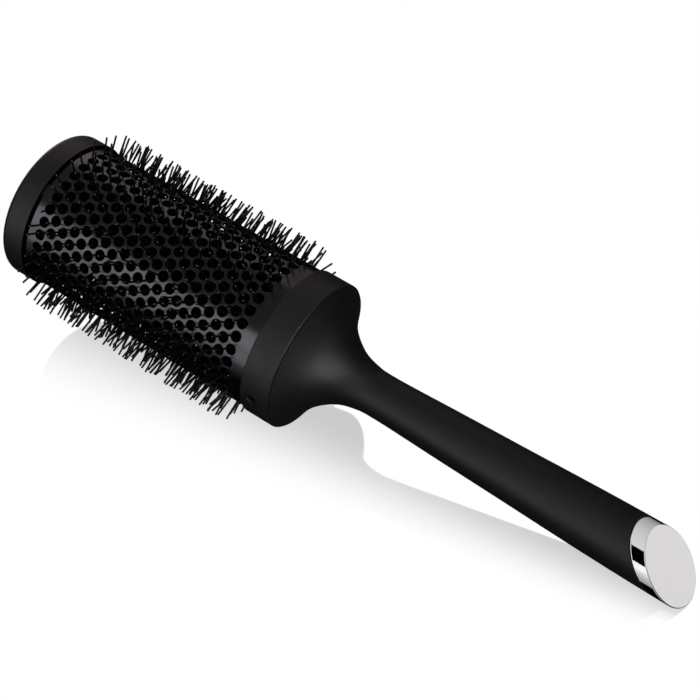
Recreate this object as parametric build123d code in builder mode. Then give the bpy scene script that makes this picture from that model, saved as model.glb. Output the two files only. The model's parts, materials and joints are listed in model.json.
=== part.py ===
"""Round barrel brush: a vented, ceramic-coated styling brush lying at rest on a table.

The brush is drawn along its own axis. Stations along the axis are measured in millimetres from the seam
between the collar and the handle, positive towards the handle's end. Angles around the axis are measured
from the brush's own upper side, positive towards -Y. The finished brush lies on the tips of its rearmost
bristles and on the end of its handle, so its axis slopes down towards +X. Z = 0 is the table.
"""

from build123d import *
import os
from math import atan2, cos, degrees, radians, sin, tan

os.makedirs("parts", exist_ok=True)

# ---- barrel and vents ----
BARREL_R = 27.5
BARREL_WALL = 0.9
VENT_R = 2.0
VENTS_PER_RING = 34
VENT_STEP = 360.0 / VENTS_PER_RING
RING_COUNT = 21
RING_PITCH = 4.29
LAST_RING_S = -18.8
FIRST_RING_S = LAST_RING_S - (RING_COUNT - 1) * RING_PITCH
BARREL_BORE_R = BARREL_R - BARREL_WALL

# ---- bristles and their twisted wire ----
TIP_R = 35.5
BRISTLE_R = 0.25
HUB_INNER_R = 2.3
HUB_OUTER_R = 3.6
HUB_WIDTH = 0.7
WIRE_R = 1.0
WIRE_OFFSET = 1.05
WIRE_TWIST_PITCH = 14.0

# ---- front cap ----
CAP_R = 28.7
CAP_EDGE_S = -110.6
CAP_GROOVE = 1.0
CAP_FRONT_S = -120.6
CAP_RIM_R = 2.3
CAP_DISC = 3.6
CAP_PLUG_REAR_S = -106.6
CAP_PLUG_WALL = 2.2
CAP_BOSS_R = 6.0
CAP_BOSS_DEPTH = 9.0
CAP_RIB_COUNT = 6
CAP_RIB_T = 1.6
CAP_RIB_DEPTH = 5.0

# ---- collar ----
COLLAR_R = 28.4
COLLAR_EDGE_S = -11.6
COLLAR_LIP = 1.8
COLLAR_LIP_R = 23.6
PIN_S = -6.7
PIN_ANGLE = 99.0
PIN_R = 1.8
PIN_LENGTH = 7.4
PIN_SOCKET_R = 0.8
PIN_RECESS = 0.9
PIN_CHAMFER = 0.25
PIN_SOCKET_DEPTH = 1.9

# ---- handle ----
GRIP_SKIN = 2.2
NECK_R = 8.08
NECK_S = 28.0
PLUG_FRONT_S = -13.0
STEM_END_S = 121.0
END_LOW_R = 11.27
END_S = 141.6
END_TILT = 43.0
END_ROLL = 187.0
END_BAND = 5.94
SPIGOT_R = 5.0
SPIGOT_LENGTH = 14.0

# ---- fits and edge breaks ----
SLIP = 0.05
EDGE = 0.4
TOOL_ROOM = 1.0

# ---- how the brush lies: two tips of the rearmost bristle ring and the handle's end touch the table ----
REST_TIP_R = TIP_R * cos(radians(VENT_STEP / 2)) + BRISTLE_R
END_LOW_S = END_S + END_LOW_R * tan(radians(END_TILT))
DROOP = atan2(REST_TIP_R - END_LOW_R, END_LOW_S - LAST_RING_S)
FRONT_REACH = (CAP_FRONT_S + CAP_RIM_R) * cos(DROOP) - (CAP_R - CAP_RIM_R) * sin(DROOP) - CAP_RIM_R
REAR_REACH = END_LOW_S * cos(DROOP) - END_LOW_R * sin(DROOP)
SEAM_X = -(FRONT_REACH + REAR_REACH) / 2
SEAM_Z = REST_TIP_R * cos(DROOP) + LAST_RING_S * sin(DROOP)
SEAM = Vector(SEAM_X, 0, SEAM_Z)
ALONG = Vector(cos(DROOP), 0, -sin(DROOP))
UPPER = Vector(sin(DROOP), 0, cos(DROOP))
BRUSH_AXIS = Axis(SEAM, ALONG)
PROFILE = Plane(origin=SEAM, x_dir=ALONG, z_dir=(0, -1, 0))


def across(station):
    """The plane across the brush at a station: X points to the upper side, Z along the brush."""
    return Plane(origin=SEAM + ALONG * station, x_dir=UPPER, z_dir=ALONG)


def outward(angle):
    """The direction that leaves the axis at an angle from the upper side."""
    plane = across(0)
    return plane.x_dir * cos(radians(angle)) + plane.y_dir * sin(radians(angle))


def radial(station, angle, radius):
    """The plane that faces outwards at a station, angle and radius."""
    direction = outward(angle)
    return Plane(origin=SEAM + ALONG * station + direction * radius, x_dir=ALONG, z_dir=direction)


def slanted(station):
    """The plane of the handle's slanted end, through the axis at a station, facing away from the brush."""
    normal = ALONG * cos(radians(END_TILT)) - outward(END_ROLL) * sin(radians(END_TILT))
    return Plane(origin=SEAM + ALONG * station, x_dir=outward(END_ROLL + 90), z_dir=normal)


def ring_station(ring):
    """The station of a ring of vents, counted from 1 at the front."""
    return FIRST_RING_S + (ring - 1) * RING_PITCH


def ring_angles(ring):
    """The angles of a ring's vents. Neighbouring rings are staggered by half a step."""
    offset = VENT_STEP / 2 if (RING_COUNT - ring) % 2 == 0 else 0.0
    return [offset + i * VENT_STEP for i in range(VENTS_PER_RING)]


def save(builder, label):
    """Names a finished piece and writes it."""
    builder.part.label = label
    export_step(builder.part, f"parts/{label}.step")


# ---- barrel: a thin coated aluminium tube, open at both ends, with staggered rings of vents ----
BARREL_FRONT_S = CAP_EDGE_S + CAP_GROOVE
BARREL_REAR_S = -COLLAR_LIP - SLIP
HOLE_START_R = COLLAR_R + TOOL_ROOM
BARREL_HOLE_DEPTH = HOLE_START_R - BARREL_BORE_R + TOOL_ROOM

with BuildPart() as barrel_tube:
    with BuildSketch(PROFILE):
        with Locations((BARREL_FRONT_S, BARREL_BORE_R)):
            Rectangle(BARREL_REAR_S - BARREL_FRONT_S, BARREL_WALL, align=(Align.MIN, Align.MIN))
    revolve(axis=BRUSH_AXIS)
    vents = [
        radial(ring_station(ring), angle, HOLE_START_R)
        for ring in range(1, RING_COUNT + 1)
        for angle in ring_angles(ring)
    ]
    with Locations(*vents):
        Hole(VENT_R, depth=BARREL_HOLE_DEPTH)
    pin_holes = [radial(PIN_S, PIN_ANGLE + turn, HOLE_START_R) for turn in (0, 180)]
    with Locations(*pin_holes):
        Hole(PIN_R + SLIP, depth=BARREL_HOLE_DEPTH)
save(barrel_tube, "barrel_tube")


# ---- front cap: a rounded disc and band, a shadow groove behind it and a ribbed plug in the barrel ----
PLUG_R = BARREL_BORE_R - SLIP
CAP_BORE_R = PLUG_R - CAP_PLUG_WALL
CAP_INNER_S = CAP_FRONT_S + CAP_DISC
CAP_SEAT_S = CAP_FRONT_S + CAP_DISC / 2
WIRE_BORE_R = WIRE_OFFSET + WIRE_R + SLIP

with BuildPart() as front_cap:
    with BuildSketch(PROFILE):
        with BuildLine():
            Polyline(
                (CAP_FRONT_S, 0),
                (CAP_FRONT_S, CAP_R),
                (CAP_EDGE_S, CAP_R),
                (CAP_EDGE_S, PLUG_R),
                (CAP_PLUG_REAR_S, PLUG_R),
                (CAP_PLUG_REAR_S, CAP_BORE_R),
                (CAP_INNER_S, CAP_BORE_R),
                (CAP_INNER_S, CAP_BOSS_R),
                (CAP_INNER_S + CAP_BOSS_DEPTH, CAP_BOSS_R),
                (CAP_INNER_S + CAP_BOSS_DEPTH, WIRE_BORE_R),
                (CAP_SEAT_S, WIRE_BORE_R),
                (CAP_SEAT_S, 0),
                close=True,
            )
        make_face()
    revolve(axis=BRUSH_AXIS)
    rim = front_cap.edges().filter_by(GeomType.CIRCLE).sort_by(BRUSH_AXIS)[0]
    fillet(rim, CAP_RIM_R)
    rib_length = CAP_BORE_R - CAP_BOSS_R + 2 * EDGE
    with BuildSketch(across(CAP_INNER_S)):
        with PolarLocations(CAP_BOSS_R - EDGE, CAP_RIB_COUNT):
            Rectangle(rib_length, CAP_RIB_T, align=(Align.MIN, Align.CENTER))
    extrude(amount=CAP_RIB_DEPTH)
save(front_cap, "front_cap")


# ---- twisted wire: two steel wires that grip the bristles along the middle of the barrel ----
WIRE_END_ROOM = 0.6
WIRE_FRONT_S = CAP_SEAT_S + WIRE_END_ROOM
WIRE_REAR_S = 12.0

with BuildPart() as core_wire_a:
    with BuildLine():
        twist = Helix(
            pitch=WIRE_TWIST_PITCH,
            height=WIRE_REAR_S - WIRE_FRONT_S,
            radius=WIRE_OFFSET,
            center=SEAM + ALONG * WIRE_FRONT_S,
            direction=ALONG,
        )
    with BuildSketch(Plane(origin=twist @ 0, z_dir=twist % 0)):
        Circle(WIRE_R)
    sweep(is_frenet=True)
save(core_wire_a, "core_wire_a")

with BuildPart() as core_wire_b:
    add(core_wire_a.part.rotate(BRUSH_AXIS, 180))
save(core_wire_b, "core_wire_b")


# ---- bristles: one ring of nylon filaments for each open ring of vents, clamped by the wires ----
for ring in range(1, RING_COUNT + 1):
    station = ring_station(ring)
    with BuildPart() as bristle_ring:
        with BuildSketch(across(station - HUB_WIDTH / 2)):
            Circle(HUB_OUTER_R)
            Circle(HUB_INNER_R, mode=Mode.SUBTRACT)
        extrude(amount=HUB_WIDTH)
        root_r = HUB_OUTER_R - BRISTLE_R
        with Locations(*[radial(station, angle, root_r) for angle in ring_angles(ring)]):
            Cylinder(BRISTLE_R, TIP_R - root_r, align=(Align.CENTER, Align.CENTER, Align.MIN))
    save(bristle_ring, f"bristle_ring_{ring:02d}")


# ---- collar: a rigid band over the barrel's rear end, with a lip behind it and two pin holes ----
with BuildPart() as collar_ring:
    with BuildSketch(PROFILE):
        with BuildLine():
            Polyline(
                (COLLAR_EDGE_S, BARREL_R + SLIP),
                (COLLAR_EDGE_S, COLLAR_R),
                (0, COLLAR_R),
                (0, COLLAR_LIP_R),
                (-COLLAR_LIP, COLLAR_LIP_R),
                (-COLLAR_LIP, BARREL_R + SLIP),
                close=True,
            )
        make_face()
    revolve(axis=BRUSH_AXIS)
    rims = collar_ring.edges().filter_by(GeomType.CIRCLE).sort_by(SortBy.RADIUS)[-2:]
    fillet(rims, EDGE)
    with Locations(*pin_holes):
        Hole(PIN_R + SLIP, depth=BARREL_HOLE_DEPTH)
save(collar_ring, "collar_ring")


# ---- locking pins: two socket screws sunk into the collar, through the barrel into the handle's plug ----
PIN_TOP_R = COLLAR_R - PIN_RECESS
with BuildPart() as collar_pins:
    with Locations(*[radial(PIN_S, PIN_ANGLE + turn, PIN_TOP_R) for turn in (0, 180)]):
        Cylinder(PIN_R, PIN_LENGTH, align=(Align.CENTER, Align.CENTER, Align.MAX))
    tops = collar_pins.edges().filter_by(GeomType.CIRCLE)
    chamfer(tops, PIN_CHAMFER)
    for turn in (0, 180):
        with BuildSketch(radial(PIN_S, PIN_ANGLE + turn, PIN_TOP_R)):
            RegularPolygon(PIN_SOCKET_R, 6)
        extrude(amount=-PIN_SOCKET_DEPTH, mode=Mode.SUBTRACT)
save(collar_pins, "collar_pins")


# ---- handle outline: a steep bell behind the collar, a slim neck and a slowly widening grip ----
BELL_POINTS = [
    (0.3, 27.9),
    (3.0, 22.5),
    (7.0, 16.7),
    (11.5, 12.85),
    (17.0, 9.85),
    (22.0, 8.6),
    (NECK_S, NECK_R),
]
BELL_SLOPES = [66, 62, 48, 34, 19, 10, 0]
GRIP_POINTS = [(NECK_S, NECK_R), (47.0, 8.6), (80.0, 9.65), (112.0, 10.7), (160.0, 11.3)]
GRIP_SLOPES = [0, -2, -2, -1, 0]
BELL_START = (cos(radians(BELL_SLOPES[0])), -sin(radians(BELL_SLOPES[0])))
LEVEL = (1, 0)


def inset(points, slopes, depth):
    """The points of a curve moved inwards, square to its slope."""
    return [
        (s - depth * sin(radians(slope)), r - depth * cos(radians(slope)))
        for (s, r), slope in zip(points, slopes)
    ]


def handle_face(depth, front_s, rear_s):
    """Half of the handle's lengthwise section, inset from its surface, between two stations."""
    bell_points = inset(BELL_POINTS, BELL_SLOPES, depth)
    grip_points = inset(GRIP_POINTS, GRIP_SLOPES, depth)
    with BuildSketch() as section:
        with BuildLine():
            bell = Spline(*bell_points, tangents=[BELL_START, LEVEL])
            grip = Spline(*grip_points, tangents=[LEVEL, LEVEL])
            Polyline(grip @ 1, (grip_points[-1][0], 0), (bell_points[0][0], 0), bell @ 0)
        make_face()
        with Locations(((front_s + rear_s) / 2, 0)):
            Rectangle(rear_s - front_s, 2 * COLLAR_R, mode=Mode.INTERSECT)
    return section.sketch


# ---- handle core: a rigid plug inside the barrel and collar, and the stem inside the grip ----
CORE_WALL = 2.2
CORE_BOSS_R = 6.0
POCKET_TURN = (4.0, 13.4)
POCKET_END_S = 7.5
LIP_BORE_R = COLLAR_LIP_R - SLIP
PIN_BOSS_R = 3.4
PIN_BOSS_INNER_R = 18.5

with BuildPart() as handle_core:
    with BuildSketch(PROFILE):
        add(handle_face(GRIP_SKIN + SLIP, 0, STEM_END_S))
        with Locations((PLUG_FRONT_S, 0)):
            Rectangle(-COLLAR_LIP - SLIP - PLUG_FRONT_S, PLUG_R, align=(Align.MIN, Align.MIN))
            Rectangle(-PLUG_FRONT_S, LIP_BORE_R, align=(Align.MIN, Align.MIN))
        with BuildLine():
            Polyline(
                (PLUG_FRONT_S, CORE_BOSS_R),
                (PLUG_FRONT_S, PLUG_R - CORE_WALL),
                (-2 * COLLAR_LIP, PLUG_R - CORE_WALL),
                (-2 * COLLAR_LIP, LIP_BORE_R - CORE_WALL),
                (0, LIP_BORE_R - CORE_WALL),
                POCKET_TURN,
                (POCKET_END_S, CORE_BOSS_R),
                close=True,
            )
        make_face(mode=Mode.SUBTRACT)
        with Locations((PLUG_FRONT_S, 0)):
            Rectangle(
                WIRE_REAR_S + WIRE_END_ROOM - PLUG_FRONT_S,
                WIRE_BORE_R,
                align=Align.MIN,
                mode=Mode.SUBTRACT,
            )
        with Locations((STEM_END_S, 0)):
            Rectangle(
                SPIGOT_LENGTH + SLIP,
                SPIGOT_R + SLIP,
                align=(Align.MAX, Align.MIN),
                mode=Mode.SUBTRACT,
            )
    revolve(axis=BRUSH_AXIS)
    pin_bosses = [radial(PIN_S, PIN_ANGLE + turn, PIN_BOSS_INNER_R) for turn in (0, 180)]
    with Locations(*pin_bosses):
        Cylinder(
            PIN_BOSS_R,
            PLUG_R - CORE_WALL / 2 - PIN_BOSS_INNER_R,
            align=(Align.CENTER, Align.CENTER, Align.MIN),
        )
    with Locations(*pin_holes):
        Hole(PIN_R + SLIP, depth=HOLE_START_R - PIN_TOP_R + PIN_LENGTH + SLIP)
save(handle_core, "handle_core")


# ---- grip: the soft-touch skin over the bell and the handle, cut on a slant at its end ----
with BuildPart() as handle_grip:
    with BuildSketch(PROFILE):
        add(handle_face(0, SLIP, END_LOW_S))
        add(handle_face(GRIP_SKIN, SLIP, END_LOW_S), mode=Mode.SUBTRACT)
    revolve(axis=BRUSH_AXIS)
    split(bisect_by=slanted(END_S - END_BAND), keep=Keep.BOTTOM)
save(handle_grip, "handle_grip")


# ---- end cap: a plated cap with a slanted face, its plug inside the grip and its spigot in the stem ----
END_PLUG_R = GRIP_POINTS[-2][1] - GRIP_SKIN - SLIP
END_BORE_R = 3.4
END_BORE_DEPTH = 12.0
with BuildPart() as end_cap:
    with BuildSketch(PROFILE):
        add(handle_face(0, STEM_END_S, GRIP_POINTS[-1][0]))
    revolve(axis=BRUSH_AXIS)
    split(bisect_by=slanted(END_S - END_BAND + SLIP), keep=Keep.TOP)
    with BuildSketch(PROFILE):
        with Locations((STEM_END_S + SLIP, 0)):
            Rectangle(END_S - STEM_END_S, END_PLUG_R, align=Align.MIN)
            Rectangle(SPIGOT_LENGTH, SPIGOT_R, align=(Align.MAX, Align.MIN))
    revolve(axis=BRUSH_AXIS)
    with Locations(across(STEM_END_S - SPIGOT_LENGTH)):
        Cylinder(
            END_BORE_R,
            SPIGOT_LENGTH + END_BORE_DEPTH,
            align=(Align.CENTER, Align.CENTER, Align.MIN),
            mode=Mode.SUBTRACT,
        )
    split(bisect_by=slanted(END_S), keep=Keep.BOTTOM)
    slants = end_cap.faces().filter_by(slanted(END_S)).sort_by(Axis(SEAM, slanted(END_S).z_dir))
    rims = slants[0].outer_wire().edges() + slants[-1].outer_wire().edges()
    fillet(rims, EDGE)
save(end_cap, "end_cap")
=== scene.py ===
"""The looks of a round barrel brush: its finishes, its nylon bristles and a plain studio.

Lengths are in metres. The brush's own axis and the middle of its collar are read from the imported
record. Angles around the brush start at its upper side and are positive towards -Y.
"""

import json
import random
from math import cos, pi, radians, sin, tau

import bpy
from mathutils import Matrix, Vector


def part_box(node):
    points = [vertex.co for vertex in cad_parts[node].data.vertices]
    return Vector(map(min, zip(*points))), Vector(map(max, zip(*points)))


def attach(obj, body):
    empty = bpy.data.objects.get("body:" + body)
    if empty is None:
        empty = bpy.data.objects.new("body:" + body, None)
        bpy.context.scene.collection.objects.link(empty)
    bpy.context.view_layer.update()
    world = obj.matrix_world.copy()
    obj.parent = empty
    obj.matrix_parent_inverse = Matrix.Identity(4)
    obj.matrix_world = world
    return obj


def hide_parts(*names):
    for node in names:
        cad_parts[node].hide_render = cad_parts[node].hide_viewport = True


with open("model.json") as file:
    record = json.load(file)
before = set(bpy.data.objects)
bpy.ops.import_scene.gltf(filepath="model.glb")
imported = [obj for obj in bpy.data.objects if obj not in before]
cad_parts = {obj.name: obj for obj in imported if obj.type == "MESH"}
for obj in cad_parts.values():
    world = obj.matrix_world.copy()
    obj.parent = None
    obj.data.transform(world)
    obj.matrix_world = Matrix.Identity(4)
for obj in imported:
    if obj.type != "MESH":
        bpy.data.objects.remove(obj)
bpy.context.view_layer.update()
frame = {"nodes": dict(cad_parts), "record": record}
NODES = frame["nodes"]
MOUNTS = {mount["name"]: mount for mount in frame["record"]["mounts"]}
MM = 0.001

# ---- the brush's own directions and the middle of its collar ----
ALONG = Vector(MOUNTS["collar_band"]["axis"]).normalized()
COLLAR_MIDDLE = Vector(MOUNTS["collar_band"]["pos_m"])
UPPER = Vector((-ALONG.z, 0, ALONG.x))
SIDE = ALONG.cross(UPPER)
OWN_TURN = Matrix((ALONG, SIDE, UPPER)).transposed().to_euler()

# ---- the barrel's vents, which the bristles leave by ----
RING_COUNT = 21
VENTS_PER_RING = 34
RING_PITCH = 4.29 * MM
VENT_STEP = tau / VENTS_PER_RING
VENT_R = 2.0 * MM
BARREL_MID_R = 27.05 * MM

# ---- one filament, and its cut tip's sections as (radii before the end, share of the radius) ----
FILAMENT_R = 0.37 * MM
FILAMENT_SIDES = 8
INNER_STEPS = 3
OUTER_STEPS = 3
CUT_TIP = ((0.7, 1.0), (0.2, 0.78), (0.0, 0.38))
ACROSS_HINT = ALONG + SIDE * 0.01

# ---- where filaments start: a distance from the axis, and a spread along it in ring pitches ----
ROOT_R = 2.2 * MM
ROOT_SPREAD = 0.4

# ---- filaments through the vents: how many, where in a vent, how far they reach and lean ----
SEED = 27
FILAMENTS_PER_VENT = (1, 1, 1, 1, 1, 1, 2, 1, 2, 1)
VENT_SHARE = 0.8
OFF_MIDDLE = (0.1, 1)
TIP_R = 35.5 * MM
TIP_SPREAD = 0.35 * MM
LEAN = 0.075
VENT_LEAN = LEAN * 0.5

# ---- the rear rings' bristles lean to the rear at this angle, and to the front opposite it ----
REAR_LEAN = 0.16
REAR_LEAN_ANGLE = radians(-60)

# ---- filaments that stay inside the barrel; they sway by so many millimetres ----
INNER_FILAMENTS = 90
INNER_REACH = (14.0 * MM, 25.0 * MM)
INNER_SWAY = 1.5
INNER_BEND = 0.2
INNER_END = 0.5 * MM

# ---- the painted highlight (glint) on each cut filament's end: one share for each point of its mesh ----
SECTIONS = INNER_STEPS + OUTER_STEPS + len(CUT_TIP)
TIP_GLINT_SHARES = [0.0] * FILAMENT_SIDES * (SECTIONS - 1) + [1.0] * FILAMENT_SIDES

# ---- black moulded plastic, shared by the collar and the front cap ----
PLASTIC_DARK = (0.0085, 0.0082, 0.0085)
PLASTIC_LIGHT = (0.0120, 0.0115, 0.0118)
PLASTIC_ROUGHNESS = (0.50, 0.58)
# where the painted highlight along the collar's rims starts, and how far it blends in
RIM_START = 4.2 * MM
RIM_BLEND = 0.6 * MM
# radius of the cap's groove, inside which the plug gets painted shade
GROOVE_R = 27.5 * MM

# ---- edges that the Bevel node softens: its rays, and how far the surface turns there ----
EDGE_SAMPLES = 6
EDGE_FLAT = 0.995
EDGE_TURNED = 0.90

# ---- every noise's roughness, and the part of its range that its values fill ----
NOISE_ROUGHNESS = 0.55
NOISE_LOW = 0.3
NOISE_HIGH = 0.7

# ---- light colours ----
NEUTRAL = (1, 1, 1)
COOL = (0.97, 0.96, 1.0)
VIOLET = (0.92, 0.90, 1.0)
WARM = (1.0, 0.87, 0.82)

# ---- soft lights around the collar: azimuth, elevation, width, height, radiance, colour ----
LIGHT_DISTANCE = 1.6
BRUSH_LIGHTS = {
    "right_key": (-30, 3, 0.8, 0.95, 5.1, NEUTRAL),
    "right_fill": (-30, 35, 0.8, 0.8, 3.2, NEUTRAL),
    "right_low": (-8, -20, 1.2, 0.6, 1.2, NEUTRAL),
    "right_side": (0, 20, 0.8, 1.6, 0.3, NEUTRAL),
    "left_low": (-120, 3, 0.8, 0.85, 1.8, COOL),
    "left_middle": (-90, 3, 0.8, 0.85, 1.2, NEUTRAL),
    "left_high": (-105, 35, 1.4, 0.8, 0.7, COOL),
    "back_low": (150, 5, 0.8, 0.8, 2.6, WARM),
    "back_high": (135, 38, 1.4, 0.9, 0.75, WARM),
    "top_softbox": (-70, 75, 1.4, 1.2, 0.3, NEUTRAL),
}
BARREL_LIGHTS = {
    "barrel_left": (-116, 19.5, 0.90, 0.78, 1.20, VIOLET),
    "barrel_left_low": (-116, -5, 0.90, 0.52, 0.98, VIOLET),
    "barrel_left_foot": (-118, -22, 0.90, 0.45, 0.17, VIOLET),
    "barrel_top": (-140, 65, 1.9, 1.9, 0.09, NEUTRAL),
    "barrel_back": (118, 32, 0.95, 1.8, 0.19, WARM),
    "barrel_back_high": (128, 36, 0.45, 1.1, 0.38, WARM),
}
CHROME_LIGHTS = {
    "chrome_right": (34, 4, 1.6, 1.6, 1.0, NEUTRAL),
    "chrome_left": (-134, 16, 2.2, 1.0, 1.2, NEUTRAL),
    "chrome_table": (-95, -8, 1.6, 0.59, 1.15, NEUTRAL),
    "chrome_rim": (-52, 25, 1.1, 1.4, 1.0, NEUTRAL),
}
TABLE_LIGHTS = {"table_wash": (0, 90, 24, 24, 1.0, NEUTRAL)}

# ---- cards side by side around the chrome end: each arc's first elevation, and its radiances ----
CARD_ARCS = (
    (-53.45, (0.42, 0.52, 0.64, 0.86)),
    (51, (0.80, 0.78, 0.76, 0.74, 0.71, 0.68, 0.64, 0.60, 0.56, 0.52, 0.47, 0.42, 0.34, 0.25)),
)
CARD_AZIMUTH = -90
CARD_STEP = 10
CARD_LENGTH = 2.6
CARD_WIDTH = 0.28

# ---- table: its gloss starts at a line Y = a X + b and is full c X + d behind it; far from the
# brush it fades away again ----
FLOOR_REACH = 12.0
GLOSS_BORDER = (0.12, -0.0375)
GLOSS_FADE = (-0.16, 0.048)
GLOSS_SHARE = 0.41
GLOSS_ROUGHNESS = 0.05
GLOSS_REACH = (0.55, 0.35)
GLOSS_NORMAL = (0.010, -0.100, 0.995)

# ---- camera ----
CAMERA_PLACE = Vector((0.22832, -0.3552, 0.39357))
CAMERA_RIGHT = Vector((0.83072, 0.55608, 0.02611))
CAMERA_FORWARD = Vector((-0.41358, 0.64788, -0.63971))
SENSOR_WIDTH = 36
LENS = 82.18
CLIP_START = 0.01


# ======================================================================== small node helpers
def feed(tree, socket, value):
    """Links an output to an input, or sets the input's own value."""
    if isinstance(value, bpy.types.NodeSocket):
        tree.links.new(value, socket)
    else:
        socket.default_value = value


def add_node(tree, kind, settings=None, **inputs):
    """A node of a kind with its settings made, and then some of its inputs fed by name.

    A name's underscores stand for spaces.
    """
    node = tree.nodes.new(kind)
    for name, value in (settings or {}).items():
        setattr(node, name, value)
    for name, value in inputs.items():
        feed(tree, node.inputs[name.replace("_", " ")], value)
    return node


def fed_in_order(tree, kind, settings, *values):
    """A node whose first inputs are fed in their order, because some of them share a name."""
    node = add_node(tree, kind, settings)
    for socket, value in zip(node.inputs, values):
        feed(tree, socket, value)
    return node


def number(tree, operation, *values):
    """The number that a math operation gives."""
    node = fed_in_order(tree, "ShaderNodeMath", {"operation": operation}, *values)
    return node.outputs["Value"]


def vector(tree, operation, *values):
    """The outputs of a vector operation: a Vector, or a Value for a length or a dot product."""
    node = fed_in_order(tree, "ShaderNodeVectorMath", {"operation": operation}, *values)
    return node.outputs


def new_material(name):
    """A node material with a plain Principled shader, as (material, tree, shader)."""
    material = bpy.data.materials.new(name)
    material.use_nodes = True
    tree = material.node_tree
    return material, tree, tree.nodes["Principled BSDF"]


def own_place(tree, start=(0, 0, 0)):
    """A point's place along the brush's own directions, counted from a start."""
    place = add_node(tree, "ShaderNodeTexCoord").outputs["Object"]
    textured = {"vector_type": "TEXTURE"}
    mapping = add_node(
        tree, "ShaderNodeMapping", textured, Vector=place, Location=start, Rotation=OWN_TURN
    )
    return mapping.outputs["Vector"]


def local_coordinates(tree, stretch=(1, 1, 1)):
    """Coordinates fixed to the piece, stretched along the brush's own axis and across it."""
    return vector(tree, "MULTIPLY", own_place(tree), stretch)["Vector"]


def distance_from_middle(tree, counted):
    """How far a point is from the collar's middle, counted along some of the own directions."""
    part = vector(tree, "MULTIPLY", own_place(tree, COLLAR_MIDDLE), counted)["Vector"]
    return vector(tree, "LENGTH", part)["Value"]


def facing(tree, way):
    """How far the surface faces a direction: 1 straight towards it, 0 square to it."""
    normal = add_node(tree, "ShaderNodeNewGeometry").outputs["Normal"]
    return vector(tree, "DOT_PRODUCT", normal, way)["Value"]


def ramp(tree, value, start, stop, low=0.0, high=1.0, style="LINEAR"):
    """A value brought from one range to another and held at its ends."""
    settings = {"interpolation_type": style}
    limits = {"From_Min": start, "From_Max": stop, "To_Min": low, "To_Max": high}
    node = add_node(tree, "ShaderNodeMapRange", settings, Value=value, **limits)
    return node.outputs["Result"]


def rounded_edges(tree, radius):
    """A surface direction that turns softly over sharp edges, and how much it turns there."""
    samples = {"samples": EDGE_SAMPLES}
    soft = add_node(tree, "ShaderNodeBevel", samples, Radius=radius).outputs["Normal"]
    return soft, ramp(tree, facing(tree, soft), EDGE_FLAT, EDGE_TURNED)


def noise(tree, place, scale, detail):
    """A noise value at a scale, in waves per metre."""
    look = {"Scale": scale, "Detail": detail, "Roughness": NOISE_ROUGHNESS}
    return add_node(tree, "ShaderNodeTexNoise", Vector=place, **look).outputs["Fac"]


def spread(tree, value, low, high):
    """A noise value brought to a range."""
    return ramp(tree, value, NOISE_LOW, NOISE_HIGH, low, high)


def mix(tree, kind, share, first, second):
    """Two values (FLOAT) or two colours (RGBA) mixed by a share."""
    settings = {"data_type": kind}
    node = add_node(tree, "ShaderNodeMix", settings, Factor=share, A=first, B=second)
    return node.outputs["Result"]


def tint(tree, value, dark, light):
    """A colour between two, chosen by a value."""
    return mix(tree, "RGBA", value, (*dark, 1), (*light, 1))


def dress(tree, shader, colour, roughness):
    """Gives a shader its colour and its roughness."""
    feed(tree, shader.inputs["Base Color"], colour)
    feed(tree, shader.inputs["Roughness"], roughness)


def bump(tree, shader, height, distance, strength, normal=None):
    """Raises the surface's small relief, over a softened surface direction if one is given."""
    node = add_node(
        tree, "ShaderNodeBump", Strength=strength, Distance=distance, Height=height
    )
    if normal is not None:
        feed(tree, node.inputs["Normal"], normal)
    feed(tree, shader.inputs["Normal"], node.outputs["Normal"])


# ======================================================================== materials
def coated_barrel():
    """Dark satin ceramic coating: fine sprayed grain over faint clouds."""
    material, tree, shader = new_material("ceramic_coating")
    place = local_coordinates(tree)
    grain = noise(tree, place, scale=2600, detail=4)
    clouds = noise(tree, place, scale=90, detail=3)
    colour = tint(tree, clouds, dark=(0.010, 0.010, 0.011), light=(0.014, 0.0135, 0.015))
    dress(tree, shader, colour, spread(tree, clouds, low=0.20, high=0.24))
    soft_normal, _ = rounded_edges(tree, radius=0.3 * MM)
    bump(tree, shader, grain, distance=0.01 * MM, strength=0.25, normal=soft_normal)
    shader.inputs["IOR"].default_value = 2.0
    return material


def moulded_plastic(name):
    """The start of a matte moulded plastic: its material, tree, shader, clouds and fine grain."""
    material, tree, shader = new_material(name)
    place = local_coordinates(tree)
    clouds = noise(tree, place, scale=120, detail=3)
    grain = noise(tree, place, scale=3200, detail=4)
    return material, tree, shader, clouds, grain


def painted_light_and_gloss(tree, shader, clouds, share, dark, light, roughness):
    """Mixes the plain moulded plastic, by a share, towards a second colour and another roughness:
    a painted highlight on the collar, painted shade on the cap.
    """
    plain = tint(tree, clouds, PLASTIC_DARK, PLASTIC_LIGHT)
    colour = mix(tree, "RGBA", share, plain, tint(tree, clouds, dark, light))
    plain_rough = spread(tree, clouds, *PLASTIC_ROUGHNESS)
    rough = mix(tree, "FLOAT", share, plain_rough, spread(tree, clouds, *roughness))
    dress(tree, shader, colour, rough)


def black_plastic():
    """Matte moulded plastic with a fine eroded texture, and a painted highlight with a lower
    roughness along its rims.
    """
    material, tree, shader, clouds, grain = moulded_plastic("matte_plastic")
    soft_normal, turned = rounded_edges(tree, radius=0.5 * MM)
    from_middle = distance_from_middle(tree, counted=(1, 0, 0))
    near_rim = ramp(tree, from_middle, RIM_START, RIM_START + RIM_BLEND)
    # painted highlight: a lighter colour and a lower roughness on the rounded rim edges
    rim_highlight = number(tree, "MULTIPLY", turned, near_rim)
    painted_light_and_gloss(
        tree, shader, clouds, rim_highlight,
        dark=(0.040, 0.039, 0.040), light=(0.060, 0.059, 0.060), roughness=(0.34, 0.40),
    )
    bump(tree, shader, grain, distance=0.02 * MM, strength=0.4, normal=soft_normal)
    return material


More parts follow.
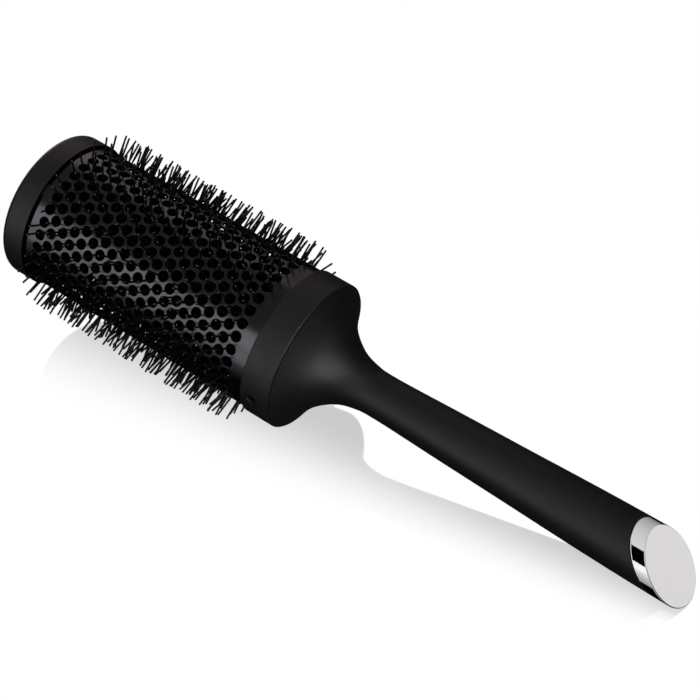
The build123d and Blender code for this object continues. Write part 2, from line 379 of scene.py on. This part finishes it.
def cap_plastic():
    """The same matte plastic, with painted shade (a near-black colour) and a lower roughness on
    its back face and on the plug in the groove.
    """
    material, tree, shader, clouds, grain = moulded_plastic("cap_plastic")
    from_axis = distance_from_middle(tree, counted=(0, 1, 1))
    # painted shade: the groove and the back face are darkened to near black
    groove_shade = ramp(tree, from_axis, GROOVE_R + 0.3 * MM, GROOVE_R - 0.1 * MM)
    back_face_shade = ramp(tree, facing(tree, ALONG), start=0.6, stop=0.95)
    painted_light_and_gloss(
        tree, shader, clouds, number(tree, "MAXIMUM", groove_shade, back_face_shade),
        dark=(0.0006, 0.0006, 0.0006), light=(0.0012, 0.0012, 0.0012), roughness=(0.10, 0.14),
    )
    bump(tree, shader, grain, distance=0.02 * MM, strength=0.4)
    return material


def soft_touch():
    """Soft-touch rubber paint: very even, with a velvety sheen and faint handling marks."""
    material, tree, shader = new_material("soft_touch_rubber")
    place = local_coordinates(tree)
    grain = noise(tree, place, scale=4200, detail=3)
    clouds = noise(tree, place, scale=70, detail=4)
    colour = tint(tree, clouds, dark=(0.0036, 0.0036, 0.0038), light=(0.0052, 0.0052, 0.0055))
    dress(tree, shader, colour, spread(tree, clouds, low=0.50, high=0.57))
    shader.inputs["Sheen Weight"].default_value = 0.01
    shader.inputs["Sheen Roughness"].default_value = 0.5
    bump(tree, shader, grain, distance=0.015 * MM, strength=0.35)
    return material


def bristle_nylon():
    """Extruded black nylon: smooth, with faint drawn lines and a painted highlight (a lighter
    colour) on the cut ends.
    """
    material, tree, shader = new_material("bristle_nylon")
    lines = noise(tree, local_coordinates(tree), scale=5200, detail=2)
    black = tint(tree, lines, dark=(0.0020, 0.0020, 0.0024), light=(0.0050, 0.0050, 0.0054))
    # painted highlight: the cut ends are made lighter to show the glints of the tips
    tip_glint = tint(tree, lines, dark=(0.05, 0.05, 0.052), light=(0.22, 0.22, 0.225))
    tip = add_node(tree, "ShaderNodeAttribute", {"attribute_name": "tip"}).outputs["Fac"]
    colour = mix(tree, "RGBA", tip, black, tip_glint)
    dress(tree, shader, colour, spread(tree, lines, low=0.30, high=0.42))
    bump(tree, shader, lines, distance=0.01 * MM, strength=0.3)
    shader.inputs["Specular IOR Level"].default_value = 0.2
    return material


def drawn_steel(name, dark, light, roughness):
    """Drawn or blackened steel with fine lines along the brush."""
    material, tree, shader = new_material(name)
    lines = noise(tree, local_coordinates(tree, stretch=(0.05, 1, 1)), scale=3000, detail=3)
    dress(tree, shader, tint(tree, lines, dark, light), spread(tree, lines, *roughness))
    bump(tree, shader, lines, distance=0.01 * MM, strength=0.3)
    shader.inputs["Metallic"].default_value = 1.0
    return material


def stem_plastic():
    """Glass-filled core plastic: mottled and slightly rough."""
    material, tree, shader = new_material("core_plastic")
    fibres = noise(tree, local_coordinates(tree, stretch=(0.2, 1, 1)), scale=1800, detail=4)
    colour = tint(tree, fibres, dark=(0.020, 0.020, 0.021), light=(0.040, 0.040, 0.041))
    dress(tree, shader, colour, spread(tree, fibres, low=0.45, high=0.62))
    bump(tree, shader, fibres, distance=0.03 * MM, strength=0.4)
    return material


def plated_end():
    """Chrome plating: a mirror around the side, satin on the slanted face and its rim."""
    material, tree, shader = new_material("chrome_plating")
    place = local_coordinates(tree)
    on_face = ramp(tree, facing(tree, ALONG), start=0.04, stop=0.15)
    satin = spread(tree, noise(tree, place, scale=2400, detail=3), low=0.36, high=0.44)
    mirror = spread(tree, noise(tree, place, scale=160, detail=2), low=0.05, high=0.075)
    clouds = noise(tree, place, scale=500, detail=2)
    colour = tint(tree, clouds, dark=(0.80, 0.785, 0.785), light=(0.84, 0.825, 0.82))
    dress(tree, shader, colour, mix(tree, "FLOAT", on_face, mirror, satin))
    relief = noise(tree, place, scale=3000, detail=2)
    bump(tree, shader, relief, distance=0.004 * MM, strength=0.2)
    shader.inputs["Metallic"].default_value = 1.0
    return material


def paint(material, *names):
    """Puts a material on every slot of some nodes."""
    for name in names:
        node = NODES[name]
        if not node.material_slots:
            node.data.materials.append(material)
        for slot in node.material_slots:
            slot.material = material


# ======================================================================== bristles
def around(angle):
    """The outward and the sideways direction at an angle around the brush."""
    outward = UPPER * cos(angle) + SIDE * sin(angle)
    sideways = SIDE * cos(angle) - UPPER * sin(angle)
    return outward, sideways


def root_point(centre, outward, chance):
    """Where a filament starts: beside the wires, within its own ring."""
    spot = chance.uniform(-ROOT_SPREAD, ROOT_SPREAD)
    return centre + outward * ROOT_R + ALONG * spot * RING_PITCH


def bent_line(root, root_way, gate, gate_way, reach):
    """The middle line of a filament: bent from its root to a gate, and straight on to its tip."""
    span = (gate - root).length
    line = []
    for step in range(INNER_STEPS):
        t = step / INNER_STEPS
        start = (2 * t**3 - 3 * t**2 + 1) * root + (t**3 - 2 * t**2 + t) * span * root_way
        line.append(start + (3 * t**2 - 2 * t**3) * gate + (t**3 - t**2) * span * gate_way)
    for step in range(OUTER_STEPS + 1):
        line.append(gate + gate_way * reach * step / OUTER_STEPS)
    return line


def add_filament(line, vertices, faces):
    """Sweeps a round section along a middle line and rounds off the cut tip."""
    tip_way = (line[-1] - line[-2]).normalized()
    sections = [(point, FILAMENT_R) for point in line[:-1]]
    for before_end, share in CUT_TIP:
        sections.append((line[-1] - tip_way * FILAMENT_R * before_end, FILAMENT_R * share))
    first = len(vertices)
    for i, (point, size) in enumerate(sections):
        before = sections[max(i - 1, 0)][0]
        after = sections[min(i + 1, len(sections) - 1)][0]
        way = (after - before).normalized()
        across = way.cross(ACROSS_HINT).normalized()
        other = way.cross(across)
        for side in range(FILAMENT_SIDES):
            turn = tau * side / FILAMENT_SIDES
            vertices.append(point + (across * cos(turn) + other * sin(turn)) * size)
    for i in range(len(sections) - 1):
        low = first + i * FILAMENT_SIDES
        high = low + FILAMENT_SIDES
        for side in range(FILAMENT_SIDES):
            next_side = (side + 1) % FILAMENT_SIDES
            faces.append((low + side, low + next_side, high + next_side, high + side))
    last = first + (len(sections) - 1) * FILAMENT_SIDES
    faces.append(tuple(last + side for side in range(FILAMENT_SIDES)))
    faces.append(tuple(first + side for side in reversed(range(FILAMENT_SIDES))))


def vent_filaments(centre, angle, ring_lean, chance, vertices, faces):
    """The few filaments that leave one vent, each with its own lean and length."""
    outward, sideways = around(angle)
    vent_lean = chance.gauss(0, VENT_LEAN), chance.gauss(0, VENT_LEAN)
    for _ in range(chance.choice(FILAMENTS_PER_VENT)):
        swing = chance.uniform(0, tau)
        off = (VENT_R - FILAMENT_R) * VENT_SHARE * chance.uniform(*OFF_MIDDLE) ** 0.5
        gate = centre + outward * BARREL_MID_R + (ALONG * cos(swing) + sideways * sin(swing)) * off
        root = root_point(centre, outward, chance)
        root += sideways * chance.uniform(-ROOT_SPREAD, ROOT_SPREAD) * MM
        lean_along = ring_lean + vent_lean[0] + chance.gauss(0, LEAN)
        lean_side = vent_lean[1] + chance.gauss(0, LEAN)
        way = (outward + ALONG * lean_along + sideways * lean_side).normalized()
        reach = TIP_R - BARREL_MID_R + chance.gauss(0, TIP_SPREAD)
        tip = gate + way * reach
        if tip.z < FILAMENT_R:  # the table stops it
            reach *= (gate.z - FILAMENT_R) / (gate.z - tip.z)
        root_way = (gate - root).normalized()
        add_filament(bent_line(root, root_way, gate, way, reach), vertices, faces)


def inner_filaments(centre, chance, vertices, faces):
    """The filaments that met no vent: they stay inside the barrel, bent away from its wall."""
    for _ in range(INNER_FILAMENTS):
        outward, sideways = around(chance.uniform(0, tau))
        root = root_point(centre, outward, chance)
        reach = outward * chance.uniform(*INNER_REACH)
        end = root + reach + sideways * chance.gauss(0, INNER_SWAY) * MM
        bend_way = (outward + sideways * chance.gauss(0, INNER_BEND)).normalized()
        add_filament(bent_line(root, outward, end, bend_way, INNER_END), vertices, faces)


def bristle_rings(material):
    """One mesh of filaments for each bristle ring of the frame."""
    chance = random.Random(SEED)
    inner_chance = random.Random(SEED + 1)
    for ring in range(1, RING_COUNT + 1):
        node = f"bristle_ring_{ring:02d}"
        low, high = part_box(node)
        centre = (low + high) / 2
        stagger = VENT_STEP / 2 if (RING_COUNT - ring) % 2 == 0 else 0.0
        rear_lean = REAR_LEAN * (ring - 1) / (RING_COUNT - 1)
        vertices, faces = [], []
        for vent in range(VENTS_PER_RING):
            angle = stagger + vent * VENT_STEP
            ring_lean = rear_lean * cos(angle - REAR_LEAN_ANGLE)
            vent_filaments(centre, angle, ring_lean, chance, vertices, faces)
        tip_shares = TIP_GLINT_SHARES * (len(vertices) // len(TIP_GLINT_SHARES))
        inner_filaments(centre, inner_chance, vertices, faces)
        tip_shares += [0.0] * (len(vertices) - len(tip_shares))
        mesh = bpy.data.meshes.new(f"bristles_{ring:02d}")
        mesh.from_pydata(vertices, [], faces)
        mesh.shade_smooth()
        mesh.materials.append(material)
        tips = mesh.attributes.new("tip", "FLOAT", "POINT")
        tips.data.foreach_set("value", tip_shares)
        piece = bpy.data.objects.new(mesh.name, mesh)
        bpy.context.scene.collection.objects.link(piece)
        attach(piece, "root")
        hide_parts(node)


# ======================================================================== studio
def group(name, objects):
    """A collection that a light can be limited to."""
    collection = bpy.data.collections.new(name)
    for item in objects:
        collection.objects.link(item)
    return collection


def heading(azimuth, elevation):
    """The direction at an azimuth from +X and an elevation, in degrees."""
    a, e = radians(azimuth), radians(elevation)
    return Vector((cos(a) * cos(e), sin(a) * cos(e), sin(e)))


def softbox(name, azimuth, elevation, width, height, radiance, colour, receivers):
    """A rectangular soft light that looks at the collar from a direction."""
    way = heading(azimuth, elevation)
    data = bpy.data.lights.new(name, "AREA")
    data.shape = "RECTANGLE"
    data.size, data.size_y = width, height
    data.energy = radiance * pi * width * height
    data.color = colour
    light = bpy.data.objects.new(name, data)
    bpy.context.scene.collection.objects.link(light)
    light.location = COLLAR_MIDDLE + way * LIGHT_DISTANCE
    light.rotation_mode = "QUATERNION"
    light.rotation_quaternion = way.to_track_quat("Z", "Y")
    light.visible_camera = False
    light.light_linking.receiver_collection = receivers


def softboxes(lights, receivers):
    """A named set of soft lights for some receivers."""
    for name, values in lights.items():
        softbox(name, *values, receivers)


def card_lights():
    """The cards around the chrome end, numbered on from arc to arc; each meets the next one."""
    cards = {}
    for lowest, radiances in CARD_ARCS:
        for place, radiance in enumerate(radiances):
            elevation = lowest + place * CARD_STEP
            name = f"chrome_card_{len(cards)}"
            cards[name] = (CARD_AZIMUTH, elevation, CARD_LENGTH, CARD_WIDTH, radiance, NEUTRAL)
    return cards


def studio_lights(floor):
    """Soft lights for the matte pieces, the coated barrel, the chrome end and the table."""
    end_cap, barrel = NODES["end_cap"], NODES["barrel_tube"]
    apart = (floor, end_cap, barrel)
    others = [item for item in bpy.data.objects if item.type == "MESH" and item not in apart]
    chrome = group("lit_chrome", [end_cap])
    tube = group("lit_barrel", [barrel])
    brush = group("lit_brush", others)
    table = group("lit_table", [floor])
    softboxes(BRUSH_LIGHTS, brush)
    softboxes(BARREL_LIGHTS, tube)
    softboxes(card_lights(), chrome)
    softboxes(CHROME_LIGHTS, chrome)
    softboxes(TABLE_LIGHTS, table)


def table_material():
    """A bright white table top with a gloss behind the brush, and none in front or far from it.

    The gloss faces slightly to the front, which draws the mirror image in under the raised neck.
    """
    material, tree, shader = new_material("pale_table")
    tree.nodes.remove(shader)
    place = add_node(tree, "ShaderNodeTexCoord").outputs["Object"]
    axes = add_node(tree, "ShaderNodeSeparateXYZ", Vector=place).outputs
    border = number(tree, "MULTIPLY_ADD", axes["X"], *GLOSS_BORDER)
    fade = number(tree, "MULTIPLY_ADD", axes["X"], *GLOSS_FADE)
    behind = number(tree, "DIVIDE", number(tree, "SUBTRACT", axes["Y"], border), fade)
    share = ramp(tree, behind, 0.0, 1.0, high=GLOSS_SHARE, style="SMOOTHERSTEP")
    near = ramp(tree, vector(tree, "LENGTH", place)["Value"], *GLOSS_REACH)
    tipped = fed_in_order(tree, "ShaderNodeCombineXYZ", None, *GLOSS_NORMAL).outputs["Vector"]
    plain = add_node(tree, "ShaderNodeEmission", Color=(1, 1, 1, 1), Strength=1.0)
    gloss = add_node(
        tree, "ShaderNodeBsdfAnisotropic",
        Color=(1, 1, 1, 1), Roughness=GLOSS_ROUGHNESS, Normal=tipped,
    )
    share_there = number(tree, "MULTIPLY", share, near)
    both = fed_in_order(
        tree, "ShaderNodeMixShader", None,
        share_there, plain.outputs["Emission"], gloss.outputs["BSDF"],
    )
    feed(tree, tree.nodes["Material Output"].inputs["Surface"], both.outputs["Shader"])
    return material


def pale_floor():
    """A large table top at the height on which the brush rests."""
    mesh = bpy.data.meshes.new("floor")
    far = FLOOR_REACH
    corners = [(-far, -far, 0), (far, -far, 0), (far, far, 0), (-far, far, 0)]
    mesh.from_pydata(corners, [], [(0, 1, 2, 3)])
    floor = bpy.data.objects.new("floor", mesh)
    bpy.context.scene.collection.objects.link(floor)
    mesh.materials.append(table_material())
    floor.visible_diffuse = False
    floor.visible_glossy = False
    return floor


def plain_world():
    """An even pale background that only the camera sees."""
    world = bpy.data.worlds.new("pale_room")
    world.use_nodes = True
    world.node_tree.nodes["Background"].inputs["Color"].default_value = (1, 1, 1, 1)
    world.cycles_visibility.diffuse = False
    world.cycles_visibility.glossy = False
    bpy.context.scene.world = world


def camera():
    """The camera, at the viewing angle of the reference view."""
    data = bpy.data.cameras.new("camera")
    data.sensor_width = SENSOR_WIDTH
    data.lens = LENS
    data.clip_start = CLIP_START
    seer = bpy.data.objects.new("camera", data)
    bpy.context.scene.collection.objects.link(seer)
    up = CAMERA_RIGHT.cross(CAMERA_FORWARD)
    turn = Matrix((CAMERA_RIGHT, up, -CAMERA_FORWARD)).transposed().to_4x4()
    seer.matrix_world = Matrix.Translation(CAMERA_PLACE) @ turn
    bpy.context.scene.camera = seer


camera()
wire_steel = drawn_steel(
    "wire_steel", dark=(0.45, 0.45, 0.45), light=(0.62, 0.61, 0.60), roughness=(0.25, 0.4)
)
pin_steel = drawn_steel(
    "pin_steel", dark=(0.03, 0.03, 0.033), light=(0.06, 0.06, 0.062), roughness=(0.3, 0.45)
)
paint(coated_barrel(), "barrel_tube")
paint(cap_plastic(), "front_cap")
paint(black_plastic(), "collar_ring")
paint(soft_touch(), "handle_grip")
paint(stem_plastic(), "handle_core")
paint(wire_steel, "core_wire_a", "core_wire_b")
paint(pin_steel, "collar_pins")
paint(plated_end(), "end_cap")
bristle_rings(bristle_nylon())
floor = pale_floor()
studio_lights(floor)
plain_world()
bpy.context.scene.view_settings.view_transform = "Standard"
